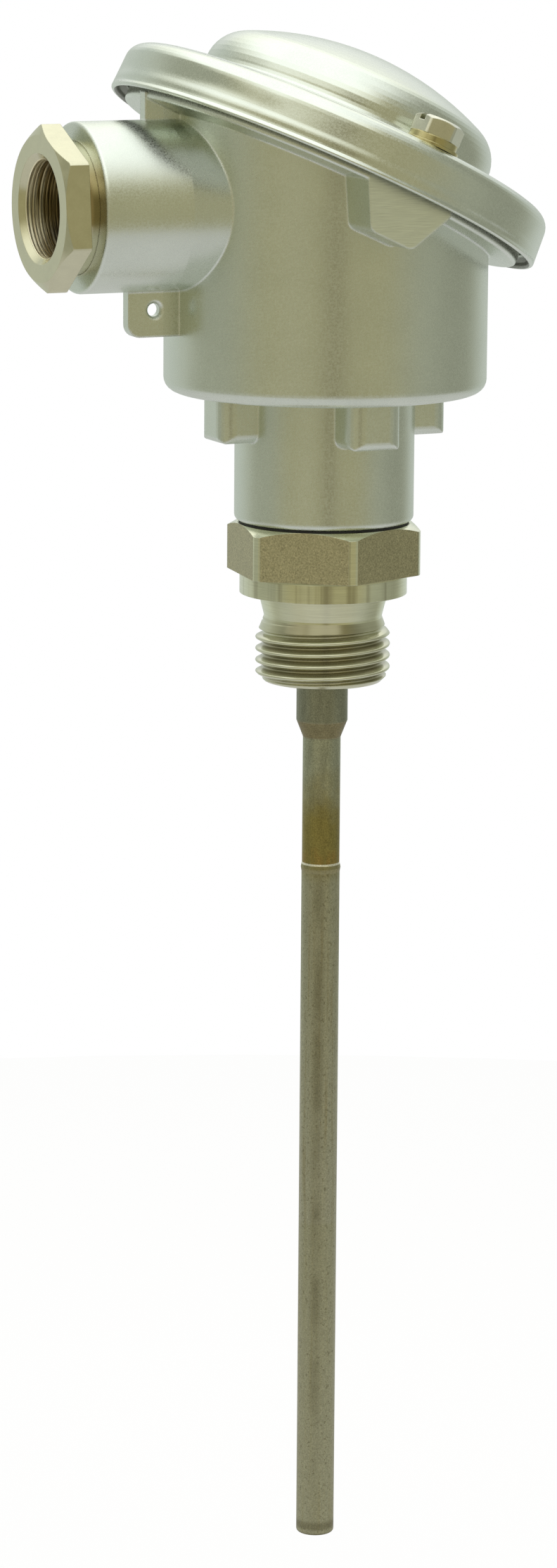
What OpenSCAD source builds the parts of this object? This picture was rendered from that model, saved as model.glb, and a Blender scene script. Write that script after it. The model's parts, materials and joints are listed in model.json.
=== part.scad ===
// Resistance thermometer probe with a form B connection head.
// The seal face of the process fitting lies at z = 0 and the probe hangs below it.
// The cable entry points along -X and the lid slopes down towards +X.
// All sizes are in millimetres.

/* [Process fitting] */
// Outside diameter of the process thread
thread_d = 20.955; // [18:0.005:24]
// Length of the threaded end below the seal face
thread_l = 14; // [12:0.5:20]
// Diameter of the groove between the thread and the collar
groove_d = 18.4; // [16:0.1:19]
// Height of the groove
groove_h = 2.6; // [1.5:0.1:4]
// Diameter of the sealing collar
collar_d = 26; // [24.5:0.5:32]
// Height of the sealing collar
collar_h = 3.2; // [2:0.1:6]
// Width across the flats of the hexagon
hex_af = 27; // [27:1:32]
// Height of the hexagon
hex_h = 7.8; // [6:0.1:14]
// Diameter of the thread that carries the head
head_thread_d = 24; // [20:0.5:24.5]
// Length of the thread that carries the head
head_thread_l = 14; // [10:0.5:16]
// Thickness of the flat seal under the head
neck_seal_t = 0.3; // [0.2:0.1:1.5]

/* [Stem and tube] */
// Diameter of the stem where it leaves the fitting
stem_d = 8; // [7:0.5:10]
// Length of the thick stem below the thread
stem_drop = 6.2; // [3:0.1:20]
// Length of the cone that leads down to the thin stem
stem_cone_l = 2.7; // [1:0.1:6]
// Diameter of the thin stem
shank_d = 5.9; // [5.5:0.1:6]
// Depth of the weld below the seal face
weld_depth = 43; // [30:1:80]
// Outside diameter of the protecting tube
tube_d = 6; // [5.8:0.1:8]
// Wall of the protecting tube
tube_wall = 0.5; // [0.3:0.05:0.8]
// Depth of the tip below the seal face
probe_l = 153; // [100:1:400]
// Thickness of the plug that closes the tip
plug_t = 1.6; // [1:0.1:3]

/* [Sensor] */
// Diameter of the sensing element
element_d = 2.8; // [1.5:0.1:3.2]
// Length of the sensing element
element_l = 15; // [8:1:30]
// Diameter of the four-hole insulator
insulator_d = 3.8; // [3:0.1:4]
// Diameter of a lead wire
lead_d = 0.6; // [0.3:0.1:0.8]
// Distance of each lead from the middle of the insulator
lead_pitch = 1.1; // [0.8:0.05:1.2]

/* [Housing] */
// Outside diameter of the housing
body_d = 49.8; // [48:0.1:52]
// Wall of the housing
body_wall = 3; // [2:0.1:3.4]
// Outside diameter of the neck
neck_d = 27.8; // [27.4:0.1:30]
// Length of the neck
neck_h = 20.1; // [18:0.1:30]
// Thickness of the housing's floor
floor_t = 3.5; // [2.5:0.1:5]
// Diameter of the wire passage through the floor
passage_d = 18; // [17:0.5:19]
// Width of each screw pad under the floor
pad_w = 8.8; // [7:0.1:11]
// Height of each screw pad under the floor
pad_h = 7.2; // [5:0.1:9]
// Distance from a block screw's axis to the outside of its pad
pad_lip = 2.7; // [2.5:0.1:4]
// Distance from the chamber's wall to the axis of each block screw
block_inset = 5.4; // [5:0.1:6]

/* [Cable entry] */
// Height of the entry's axis above the underside of the housing
entry_z = 29.2; // [28:0.1:31]
// Outside diameter of the entry
entry_d = 25.8; // [24:0.1:28]
// Distance from the middle to the entry's face
entry_reach = 41.6; // [40:0.1:50]
// Diameter of the thread in the entry
entry_thread_d = 20; // [16:0.5:20.5]
// Depth of the thread in the entry
entry_thread_l = 15.1; // [13:0.1:16]
// Bore of the gland screw
gland_bore_d = 14.8; // [10:0.1:15.6]
// Width across the flats of the gland screw
gland_af = 22; // [22:1:24]
// Thickness of the gland screw's hexagon
gland_hex_t = 3.9; // [2:0.1:6]
// Gap between the entry's face and the gland screw's hexagon
gland_gap = 1.9; // [1:0.1:4]
// Thickness of the lug and of the web at the entry
web_t = 2; // [1.6:0.1:3]
// Diameter of the eyelet in the lug
eyelet_d = 2; // [1.5:0.1:3]

/* [Lid] */
// Angle of the lid from level
lid_tilt = 25; // [20:1:27]
// Height of the lid's lip above the underside of the housing
lip_z = 32.6; // [32:0.1:36]
// Outside diameter of the lid
lid_d = 70; // [70:0.5:76]
// Height of the lid's rim
rim_h = 7.8; // [7:0.1:9]
// Thickness of the lid's rim and top
lid_wall = 2.5; // [2:0.1:3]
// Diameter of the dome
dome_d = 46.8; // [44:0.2:47]
// Height of the dome above the lip
dome_h = 20; // [18:0.5:24]
// Thickness of the housing's flange
flange_t = 4; // [3:0.1:4.2]
// Width of the lid seal
seal_w = 2.2; // [1.5:0.1:2.4]
// Distance from the lid's middle to each lid screw
screw_reach = 28.5; // [28.3:0.1:29]
// Diameter of the lid screws
screw_d = 4; // [3:0.5:5]
// Width across the flats of the lid screws
screw_af = 7; // [6:0.5:8]

/* [Terminal block] */
// Thickness of the ceramic block
block_t = 6; // [5:0.5:8]
// Height of the barriers between the terminals
barrier_h = 5; // [3:0.5:7]
// Width of a terminal clamp
clamp_w = 6; // [5:0.5:6.5]
// Distance of each terminal from the block's two middle lines
clamp_pitch = 5.5; // [4.9:0.1:5.6]

/* [Hidden] */
$fn = 96;

// Clearances and small allowances
thread_gap = 0.05;
slip_gap = 0.1;
lap = 0.5;
over = 1;
// Reach of the cutting blocks, beyond the whole head
far = 100;

// Levels of the fitting and the head
hex_top = collar_h + hex_h;
neck_z = hex_top + neck_seal_t;
body_z = neck_z + neck_h;
floor_z = body_z + floor_t;
chamber_r = body_d / 2 - body_wall;
entry_axis_z = body_z + entry_z;

// Middle of the lid's lip, from which the heights along the lid's axis are counted
lid_x = -0.9;
lid_z = body_z + lip_z;
lid_r = lid_d / 2;
skirt_t = 1.7;
flange_gap = 0.9;
flange_low = -0.8;
flange_top = flange_low + flange_t;
flange_r = lid_r - skirt_t - flange_gap;
lid_under = rim_h - lid_wall - 0.4;
seal_depth = 0.5;
seal_r = chamber_r + 0.4;

// Flats milled on the flange at the ears, and the screws that stand in the ears
ear_flat = flange_r - 0.8;
screw_u = 1.3;
washer_r = 1.075 * screw_d;
washer_t = 0.5;
spring_t = 1;
screw_head_z = rim_h + washer_t + spring_t;
screw_head_h = 2.8;
screw_end = flange_low - 3.8;
screw_turn = 12;

// Levels along the cable entry, counted outwards from the housing's axis
entry_seat = entry_reach - entry_thread_l;
gland_hex_back = entry_reach + gland_gap;
gland_shank_l = 10;
gland_shank_end = gland_hex_back - gland_shank_l;
gland_washer_t = 1;
gland_seal_out = gland_shank_end - gland_washer_t;
gland_seal_in = entry_seat + gland_washer_t;
gland_turn = 6;
entry_hole_d = gland_bore_d - 0.8;
entry_root = chamber_r - 4;

// Lug under the entry, measured from the housing's axis and the entry's axis
lug_x = -body_d / 2 - 8.4;
lug_low = entry_axis_z - entry_d / 2 - 6.9;
eyelet_x = lug_x + 4.3;
eyelet_z = entry_axis_z - entry_d / 2 - 2.8;

// Turn of the fitting's hexagon, and the relief above the thread that carries the head
hex_turn = -7.5;
neck_relief = 1.5;
stem_gap = 0.02;

// Levels inside the stem
tube_ir = tube_d / 2 - tube_wall;
stem_top = 12;
resin_top = 20;
stem_bore_d = insulator_d + 0.6;
plug_spigot = 3;
element_z = -probe_l + plug_t + plug_spigot;
insulator_z = element_z + element_l;

// Levels of the terminal block
block_top = floor_z + block_t;
clamp_h = 5.5;
clamp_top = block_top + clamp_h;
m4_r = 2;
m4_head_r = 3.4;
m4_head_h = 2.4;
m4_washer_r = 3.8;
m4_washer_t = 0.8;
barrier_gap = 1.7;
earth_head_r = 3.2;
earth_washer_r = 3.6;
clamp_screw_r = 1.5;
clamp_screw_l = 1.8;
clamp_head_r = 2.6;
clamp_head_h = 1.8;
block_reach = chamber_r - block_inset;
block_w = 2 * (block_reach - earth_washer_r - 0.4);
pad_reach = block_reach + pad_lip;
block_hole_low = body_z - pad_h + 3.2;

// Places of the four leads in the insulator and under the terminals
corners = [[1, 1], [-1, 1], [-1, -1], [1, -1]];
lead_sides = 8;
lead_rings = 14;
lead_fan_low = resin_top + 1;
lead_fan_high = floor_z - 1;
lead_top = block_top + 2.4;

// Points along an arc, from angle a0 to a1
function arc(cx, cy, r, a0, a1, n = 8) =
    [for (i = [0:n]) let (a = a0 + (a1 - a0) * i / n) [cx + r * cos(a), cy + r * sin(a)]];

// Point at distance u down the lid's slope and height h along its axis, in the X-Z plane
function on_lid(u, h) = [
    lid_x + u * cos(lid_tilt) + h * sin(lid_tilt),
    lid_z - u * sin(lid_tilt) + h * cos(lid_tilt)
];

// Puts a shape on the lid's axis, with its own +Z along that axis
module on_lid_axis() {
    translate([lid_x, 0, lid_z]) rotate([0, lid_tilt, 0]) children();
}

// Puts a shape on the cable entry's axis, with its own +Z pointing outwards
module on_entry_axis() {
    translate([0, 0, entry_axis_z]) rotate([0, -90, 0]) children();
}

// Puts a shape on a lid screw's axis, side = -1 at the front and 1 at the back
module on_screw_axis(side) {
    on_lid_axis() translate([screw_u, side * screw_reach, 0]) children();
}

// Ring with its lower face at z = 0
module ring(r_out, r_in, h) {
    difference() {
        cylinder(r = r_out, h = h);
        translate([0, 0, -over]) cylinder(r = r_in, h = h + 2 * over);
    }
}

// Hexagonal prism whose top is turned down at 30 degrees to a round face
module turned_hex(af, h, r_turn, face_r) {
    drop = (r_turn - face_r) * tan(30);
    profile = [[0, 0], [r_turn, 0], [r_turn, h - drop], [face_r, h], [0, h]];
    intersection() {
        rotate(30) cylinder(d = af / cos(30), h = h, $fn = 6);
        rotate_extrude() polygon(profile);
    }
}

// ---- Housing ----

// Everything below a height on the lid's axis
module below_lid_plane(h) {
    on_lid_axis() translate([-far, -far, h - 2 * far]) cube(2 * far);
}

module housing_shell() {
    bottom_r = 2.1;
    neck_edge = 0.9;
    r = body_d / 2;
    nr = neck_d / 2;
    profile = concat(
        [[0, neck_z]],
        arc(nr - neck_edge, neck_z + neck_edge, neck_edge, -90, 0, 4),
        [[nr, body_z]],
        arc(r - bottom_r, body_z + bottom_r, bottom_r, -90, 0, 6),
        [[r, body_z + far], [0, body_z + far]]
    );
    intersection() {
        rotate_extrude() polygon(profile);
        below_lid_plane(flange_low + lap);
    }
}

module flange() {
    edge = 0.7;
    low_edge = 0.4;
    profile = concat(
        [[0, flange_low]],
        arc(flange_r - low_edge, flange_low + low_edge, low_edge, -90, 0, 3),
        arc(flange_r - edge, flange_top - edge, edge, 0, 90, 4),
        [[0, flange_top]]
    );
    on_lid_axis() rotate_extrude() polygon(profile);
}

// Tapered lug that carries a lid screw, flush with the milled flat on the flange
module ear(side) {
    top_w = 7.35;
    low_w = 4.3;
    low_h = -7.5;
    corner = 1.5;
    outline = concat(
        [[-top_w, flange_low + lap], [-top_w, flange_low]],
        arc(-low_w + corner, low_h + corner, corner, 210, 270, 4),
        arc(low_w - corner, low_h + corner, corner, 270, 330, 4),
        [[top_w, flange_low], [top_w, flange_low + lap]]
    );
    on_lid_axis() rotate([90, 0, 0])
        translate([0, 0, side < 0 ? body_d / 4 : -ear_flat]) linear_extrude(ear_flat - body_d / 4)
            polygon(outline);
}

module entry_boss() {
    edge = 0.4;
    r = entry_d / 2;
    profile = concat(
        [[0, entry_root], [r, entry_root]],
        arc(r - edge, entry_reach - edge, edge, 0, 90, 5),
        [[0, entry_reach]]
    );
    on_entry_axis() rotate_extrude() polygon(profile);
}

// Web between the entry and the flange, and the lug with the eyelet below the entry
module entry_web() {
    web_x = -30.6;
    web_low = entry_axis_z + entry_d / 2 - 1.5;
    inner = -body_d / 2 + 1;
    outline = [
        [web_x, web_low], [inner, web_low],
        [inner, lid_z - (inner - lid_x) * tan(lid_tilt)],
        [web_x, lid_z - (web_x - lid_x) * tan(lid_tilt)]
    ];
    translate([0, web_t / 2, 0]) rotate([90, 0, 0]) linear_extrude(web_t) polygon(outline);
}

module eyelet_lug() {
    corner = 1.9;
    outline = concat(
        [[-body_d / 2 + 1, entry_axis_z - entry_d / 2 + 1.5], [lug_x, entry_axis_z - entry_d / 2 + 1.5]],
        arc(lug_x + corner, lug_low + corner, corner, 180, 270, 6),
        [[-body_d / 2 + 1, lug_low]]
    );
    translate([0, web_t / 2, 0]) rotate([90, 0, 0]) linear_extrude(web_t) polygon(outline);
}

module eyelet_hole() {
    sink = 0.4;
    translate([eyelet_x, 0, eyelet_z]) rotate([90, 0, 0]) {
        translate([0, 0, -web_t]) cylinder(d = eyelet_d, h = 2 * web_t, $fn = 48);
        for (side = [0, 1]) mirror([0, 0, side])
            translate([0, 0, web_t / 2 - sink])
                cylinder(d1 = eyelet_d, d2 = eyelet_d + 4 * sink, h = 2 * sink, $fn = 48);
    }
}

// Pads under the floor that hold the tapped holes of the block screws
module screw_pad(angle) {
    corner = 2.4;
    edge = 1.4;
    toe = 1.3;
    w = pad_w / 2;
    low = body_z - pad_h;
    root = neck_d / 2 - 2;
    plan = concat(
        [[root, w], [root, -w]],
        arc(pad_reach - corner, -w + corner, corner, 270, 360, 6),
        arc(pad_reach - corner, w - corner, corner, 0, 90, 6)
    );
    front = concat(
        [[w, body_z + 1], [-w, body_z + 1]],
        arc(-w + edge, low + edge, edge, 180, 270, 4),
        arc(w - edge, low + edge, edge, 270, 360, 4)
    );
    side = concat(
        [[root, body_z + 1], [root, low]],
        arc(pad_reach - toe, low + toe, toe, 270, 360, 4),
        [[pad_reach, body_z + 1]]
    );
    rotate(angle) intersection() {
        translate([0, 0, low]) linear_extrude(pad_h + 1) polygon(plan);
        translate([pad_reach + 1, 0, 0]) rotate([90, 0, -90])
            linear_extrude(pad_reach + 2 - root) polygon(front);
        translate([0, w + 1, 0]) rotate([90, 0, 0]) linear_extrude(2 * w + 2) polygon(side);
    }
}

module block_screw_hole(angle) {
    rotate(angle) translate([block_reach, 0, block_hole_low])
        cylinder(r = m4_r + thread_gap, h = floor_z - block_hole_low + over, $fn = 48);
}

module chamber() {
    intersection() {
        translate([0, 0, floor_z]) cylinder(r = chamber_r, h = far);
        below_lid_plane(flange_top + over);
    }
}

module head_body() {
    color("silver") difference() {
        union() {
            housing_shell();
            flange();
            ear(-1);
            ear(1);
            entry_boss();
            entry_web();
            eyelet_lug();
            for (angle = [0:90:270]) screw_pad(angle);
        }
        chamber();
        // Thread for the process fitting and the wire passage above it
        translate([0, 0, neck_z - over])
            cylinder(d = head_thread_d + 2 * thread_gap, h = head_thread_l + neck_relief + over);
        cylinder(d = passage_d, h = floor_z + over);
        // Thread and passage of the cable entry
        on_entry_axis() {
            translate([0, 0, entry_seat])
                cylinder(d = entry_thread_d + 2 * thread_gap, h = entry_thread_l + over);
            translate([0, 0, entry_root - over])
                cylinder(d = entry_hole_d, h = entry_seat - entry_root + 2 * over);
        }
        // Flats milled on the flange at the two lid screws
        on_lid_axis() for (side = [0, 1]) mirror([0, side, 0])
            translate([-20, ear_flat, -20]) cube([40, 20, 40]);
        for (side = [-1, 1]) on_screw_axis(side) translate([0, 0, screw_end - 1])
            cylinder(d = screw_d + 2 * thread_gap, h = 20, $fn = 48);
        for (angle = [0:90:270]) block_screw_hole(angle);
        eyelet_hole();
    }
}

// ---- Lid ----

// Outline of the dome, from the top to the foot, offset inwards by t
function dome_arc(t) =
    let (
        r = dome_d / 2,
        shoulder = 6,
        crown = 47,
        cx = r - shoulder,
        cy = dome_h - crown + sqrt(pow(crown - shoulder, 2) - cx * cx),
        a = atan2(cy - (dome_h - crown), cx)
    )
    concat(
        arc(0, dome_h - crown, crown - t, 90, a, 12),
        arc(cx, cy, shoulder - t, a, 0, 8)
    );

module lid() {
    fillet = 2;
    edge = 2.6;
    draft = 0.25;
    lip = 0.4;
    lip_t = 0.6;
    r = dome_d / 2;
    outer = concat(
        dome_arc(0),
        arc(r + fillet, rim_h + fillet, fillet, 180, 270, 6),
        arc(lid_r - draft - edge, rim_h - edge, edge, 90, 0, 8),
        arc(lid_r - lip, lip, lip, 0, -90, 3)
    );
    inner = concat(
        [[lid_r - lip_t, 0], [lid_r - skirt_t, 1.6 * (skirt_t - lip_t)]],
        [[lid_r - skirt_t, lid_under - 0.6], [lid_r - skirt_t - 0.6, lid_under]],
        [[r - lid_wall, lid_under]]
    );
    dome = dome_arc(lid_wall);
    dome_back = [for (i = [len(dome) - 1:-1:0]) dome[i]];
    color("gainsboro") on_lid_axis() difference() {
        rotate_extrude() polygon(concat(outer, inner, dome_back));
        // Holes of the lid screws, with spot faces for their washers
        for (side = [-1, 1]) translate([screw_u, side * screw_reach, 0]) {
            cylinder(d = screw_d + 2 * slip_gap, h = 2 * rim_h, $fn = 48);
            translate([0, 0, rim_h]) cylinder(r = washer_r + slip_gap, h = fillet, $fn = 64);
        }
        rotate([0, -lid_tilt, 0]) translate([-lid_x, 0, -lid_z]) seal_slab(slip_gap, lid_under + seal_depth);
    }
}

// Upright-walled ring that follows the rim of the chamber, between two heights on the lid's axis
module seal_slab(gap, top) {
    intersection() {
        translate([0, 0, lid_z - far / 2]) ring(seal_r + seal_w + gap, seal_r - gap, far);
        on_lid_axis() translate([-far, -far, flange_top]) cube([2 * far, 2 * far, top - flange_top]);
    }
}

module lid_gasket() {
    color([0.15, 0.15, 0.15]) seal_slab(0, lid_under + seal_depth);
}

// Hexagon-head screw with a slot, held in the lid
module lid_screw(side) {
    slot_w = 1.2;
    slot_h = 1.1;
    point = 0.5;
    color("khaki") on_screw_axis(side) difference() {
        union() {
            translate([0, 0, screw_head_z])
                rotate(screw_turn) turned_hex(screw_af, screw_head_h, screw_af * 0.56, screw_af * 0.44);
            translate([0, 0, screw_end + point])
                cylinder(d = screw_d, h = screw_head_z - screw_end - point + 0.2, $fn = 48);
            translate([0, 0, screw_end])
                cylinder(d1 = screw_d - 2 * point, d2 = screw_d, h = point, $fn = 48);
        }
        rotate(screw_turn) translate([-screw_af, -slot_w / 2, screw_head_z + screw_head_h - slot_h])
            cube([2 * screw_af, slot_w, slot_h + over]);
    }
}

module lid_screw_front() { lid_screw(-1); }

module lid_screw_back() { lid_screw(1); }

module lid_spring_washers() {
    gap_w = 0.8;
    color("khaki") for (side = [-1, 1]) on_screw_axis(side)
        translate([0, 0, rim_h + washer_t]) difference() {
            ring(screw_d / 2 + 1.8, screw_d / 2 + slip_gap, spring_t, $fn = 64);
            translate([0, 0, spring_t / 2]) rotate([25, 0, 0])
                translate([0, -gap_w / 2, -2 * spring_t]) cube([screw_d * 2, gap_w, 4 * spring_t]);
        }
}

module lid_flat_washers() {
    color("khaki") for (side = [-1, 1]) on_screw_axis(side)
        translate([0, 0, rim_h]) ring(washer_r, screw_d / 2 + slip_gap, washer_t, $fn = 64);
}

// ---- Cable gland ----

module gland_screw() {
    mouth = 0.95;
    end_chamfer = 0.7;
    face = gland_hex_back + gland_hex_t;
    shank_r = entry_thread_d / 2;
    shank = [
        [gland_bore_d / 2, gland_shank_end], [shank_r - end_chamfer, gland_shank_end],
        [shank_r, gland_shank_end + end_chamfer], [shank_r, gland_hex_back + 0.1],
        [gland_bore_d / 2, gland_hex_back + 0.1]
    ];
    color([0.85, 0.8, 0.6]) on_entry_axis() difference() {
        union() {
            rotate_extrude() polygon(shank);
            translate([0, 0, gland_hex_back]) rotate(gland_turn - 30)
                turned_hex(gland_af, gland_hex_t, gland_af * 0.58, gland_af / 2);
        }
        translate([0, 0, gland_hex_back - over]) cylinder(d = gland_bore_d, h = gland_hex_t + 2 * over);
        translate([0, 0, face - mouth])
            cylinder(d1 = gland_bore_d, d2 = gland_bore_d + 4 * mouth, h = 2 * mouth);
    }
}

module gland_washers() {
    r = entry_thread_d / 2 - 0.3;
    color("silver") on_entry_axis() {
        translate([0, 0, gland_seal_out]) ring(r, entry_hole_d / 2, gland_washer_t);
        translate([0, 0, entry_seat]) ring(r, entry_hole_d / 2, gland_washer_t);
    }
}

module gland_seal() {
    r = entry_thread_d / 2 - 0.3;
    cable_r = 4.5;
    color([0.12, 0.12, 0.12]) on_entry_axis()
        translate([0, 0, gland_seal_in]) ring(r, cable_r, gland_seal_out - gland_seal_in);
}

// ---- Process fitting ----

module process_fitting() {
    r = thread_d / 2;
    lead = 1.5;
    groove_low = -1.2 - groove_h;
    collar_edge = 0.5;
    groove_top_r = groove_d / 2 + 0.8;
    profile = concat(
        [[0, -thread_l], [r - lead, -thread_l], [r, -thread_l + lead]],
        [[r, groove_low - 2.6], [r - 0.6, groove_low - 1.8], [groove_d / 2, groove_low]],
        [[groove_d / 2, groove_low + 0.3], [groove_top_r, -0.3], [groove_top_r, 0], [collar_d / 2, 0]],
        arc(collar_d / 2 - collar_edge, collar_h - collar_edge, collar_edge, 0, 90, 4),
        [[0, collar_h]]
    );
    nr = head_thread_d / 2;
    top = hex_top + head_thread_l;
    neck = [
        [0, hex_top - 0.2], [nr - 1, hex_top - 0.2], [nr - 1, hex_top + 1.2], [nr, hex_top + 2],
        [nr, top - 1], [nr - 1, top], [0, top]
    ];
    color([0.62, 0.6, 0.5]) difference() {
        union() {
            rotate_extrude() polygon(profile);
            translate([0, 0, collar_h])
                rotate(hex_turn) turned_hex(hex_af, hex_h, hex_af * 0.565, hex_af / 2);
            rotate_extrude() polygon(neck);
        }
        translate([0, 0, -thread_l - over])
            cylinder(d = stem_d + 2 * stem_gap, h = top + thread_l + 2 * over);
    }
}

module neck_seal() {
    color([0.1, 0.1, 0.1]) translate([0, 0, hex_top])
        ring(neck_d / 2 - 0.7, head_thread_d / 2 + slip_gap, neck_seal_t);
}

// ---- Stem, tube and sensor ----

module stem() {
    r = stem_d / 2;
    cone_z = -thread_l - stem_drop;
    bore = stem_bore_d / 2;
    profile = [
        [bore, -weld_depth], [shank_d / 2, -weld_depth], [shank_d / 2, cone_z - stem_cone_l],
        [r, cone_z], [r, stem_top], [bore, stem_top]
    ];
    color([0.55, 0.52, 0.42]) rotate_extrude($fn = 64) polygon(profile);
}

module protecting_tube() {
    r = tube_d / 2;
    bead = 0.12;
    bead_h = 0.7;
    low = -probe_l + plug_t;
    profile = concat(
        [[tube_ir, low], [r, low], [r, -weld_depth - 2 * bead_h]],
        [[r + bead, -weld_depth - bead_h]],
        [[r, -weld_depth], [tube_ir, -weld_depth]]
    );
    color([0.75, 0.72, 0.66]) rotate_extrude($fn = 64) polygon(profile);
}

module tip_plug() {
    r = tube_d / 2;
    edge = 0.5;
    spigot_r = tube_ir - 0.03;
    profile = concat(
        [[0, -probe_l]],
        arc(r - edge, -probe_l + edge, edge, -90, 0, 5),
        [[r, -probe_l + plug_t], [spigot_r, -probe_l + plug_t], [spigot_r, element_z], [0, element_z]]
    );
    color([0.6, 0.58, 0.5]) rotate_extrude($fn = 64) polygon(profile);
}

module sensing_element() {
    color("white") translate([0, 0, element_z]) cylinder(d = element_d, h = element_l, $fn = 48);
}

module lead_insulator() {
    bore_r = lead_d / 2 + 0.05;
    color("ivory") difference() {
        translate([0, 0, insulator_z]) cylinder(d = insulator_d, h = resin_top - insulator_z, $fn = 48);
        for (c = corners) translate([c[0], c[1], 0] * lead_pitch / sqrt(2))
            translate([0, 0, insulator_z - over])
                cylinder(r = bore_r, h = resin_top - insulator_z + 2 * over, $fn = 24);
    }
}

// A lead rises straight, swings out to its terminal and ends in the clamp
function ease(t) = t * t * (3 - 2 * t);
function lead_out(t) = lead_pitch / sqrt(2) + (clamp_pitch - lead_pitch / sqrt(2)) * ease(t);
function lead_path(c) = concat(
    [[c[0] * lead_out(0), c[1] * lead_out(0), insulator_z]],
    [for (i = [0:lead_rings]) let (t = i / lead_rings)
        [c[0] * lead_out(t), c[1] * lead_out(t), lead_fan_low + (lead_fan_high - lead_fan_low) * t]],
    [[c[0] * clamp_pitch, c[1] * clamp_pitch, lead_top]]
);

module lead(path) {
    n = len(path);
    ring_points = [for (p = path) for (k = [0:lead_sides - 1]) let (a = 360 * k / lead_sides)
        [p[0] + lead_d / 2 * cos(a), p[1] + lead_d / 2 * sin(a), p[2]]];
    low_cap = [[for (k = [0:lead_sides - 1]) k]];
    high_cap = [[for (k = [lead_sides - 1:-1:0]) (n - 1) * lead_sides + k]];
    walls = [for (i = [0:n - 2]) for (k = [0:lead_sides - 1])
        let (a = i * lead_sides + k, b = i * lead_sides + (k + 1) % lead_sides)
        [a, a + lead_sides, b + lead_sides, b]];
    polyhedron(points = ring_points, faces = concat(low_cap, walls, high_cap), convexity = 4);
}

module lead_wires() {
    color("firebrick") for (c = corners) lead(lead_path(c));
}

module resin_plug() {
    color([0.25, 0.2, 0.15]) translate([0, 0, stem_top])
        ring(stem_d / 2, insulator_d / 2 + stem_gap, resin_top - stem_top, $fn = 64);
}

// ---- Terminal block ----

module terminal_block() {
    wall = 2;
    barrier_l = block_reach - m4_washer_r - barrier_gap;
    end_r = chamber_r - 0.9;
    color("white") difference() {
        translate([0, 0, floor_z]) union() {
            intersection() {
                cylinder(r = end_r, h = block_t);
                translate([-block_w / 2, -end_r, 0]) cube([block_w, 2 * end_r, block_t]);
            }
            translate([-wall / 2, -barrier_l, 0]) cube([wall, 2 * barrier_l, block_t + barrier_h]);
            translate([-block_w / 2, -wall / 2, 0]) cube([block_w, wall, block_t + barrier_h]);
        }
        for (c = corners) translate([c[0], c[1], 0] * clamp_pitch)
            translate([0, 0, floor_z - over])
                cylinder(r = lead_d / 2 + 0.4, h = block_t + 2 * over, $fn = 24);
        for (side = [-1, 1]) translate([0, side * block_reach, floor_z - over])
            cylinder(r = m4_r + 0.2, h = block_t + 2 * over, $fn = 48);
    }
}

module terminal_clamps() {
    color("gold") for (c = corners)
        translate([c[0] * clamp_pitch - clamp_w / 2, c[1] * clamp_pitch - clamp_w / 2, block_top])
            difference() {
                cube([clamp_w, clamp_w, clamp_h]);
                translate([clamp_w / 2, clamp_w / 2, -over])
                    cylinder(r = lead_d / 2 + 0.2, h = over + 2.6, $fn = 24);
                translate([clamp_w / 2, clamp_w / 2, clamp_h - 2])
                    cylinder(r = clamp_screw_r + thread_gap, h = 2 + over, $fn = 32);
                translate([-over, clamp_w / 2, 1.6]) rotate([0, 90, 0])
                    cylinder(r = 1, h = clamp_w + 2 * over, $fn = 24);
            }
}

// Cheese head with a slot, lower face at z = 0 and the shank below it
module slotted_screw(shank_r, shank_l, head_r, head_h) {
    slot_w = head_r * 0.3;
    difference() {
        union() {
            cylinder(r = head_r, h = head_h, $fn = 48);
            translate([0, 0, -shank_l]) cylinder(r = shank_r, h = shank_l + head_h / 2, $fn = 32);
        }
        translate([-head_r - over, -slot_w / 2, head_h * 0.55])
            cube([2 * head_r + 2 * over, slot_w, head_h]);
    }
}

module terminal_screws() {
    color("gold") for (c = corners)
        translate([c[0] * clamp_pitch, c[1] * clamp_pitch, clamp_top])
            rotate(35 * c[0] * c[1]) slotted_screw(clamp_screw_r, clamp_screw_l, clamp_head_r, clamp_head_h);
}

module block_screws() {
    color("silver") for (side = [-1, 1])
        translate([0, side * block_reach, block_top + m4_washer_t])
            rotate(20 * side)
                slotted_screw(m4_r, block_top + m4_washer_t - block_hole_low - 1, m4_head_r, m4_head_h);
}

module block_washers() {
    color("silver") for (side = [-1, 1])
        translate([0, side * block_reach, block_top])
            ring(m4_washer_r, m4_r + slip_gap, m4_washer_t, $fn = 48);
}

module earth_screw() {
    color("gold") translate([block_reach, 0, floor_z + m4_washer_t])
        rotate(50)
            slotted_screw(m4_r, floor_z + m4_washer_t - block_hole_low - 1, earth_head_r, m4_head_h);
}

module earth_washer() {
    color("gold") translate([block_reach, 0, floor_z])
        ring(earth_washer_r, m4_r + slip_gap, m4_washer_t, $fn = 48);
}

head_body();
lid();
lid_gasket();
lid_screw_front();
lid_screw_back();
lid_spring_washers();
lid_flat_washers();
gland_screw();
gland_washers();
gland_seal();
process_fitting();
neck_seal();
stem();
protecting_tube();
tip_plug();
sensing_element();
lead_insulator();
lead_wires();
resin_plug();
terminal_block();
terminal_clamps();
terminal_screws();
block_screws();
block_washers();
earth_screw();
earth_washer();
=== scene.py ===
"""Resistance thermometer probe with a cast connection head: finishes, threads and studio."""

import json
import math

import bmesh
import bpy
from mathutils import Matrix, Vector


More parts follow.
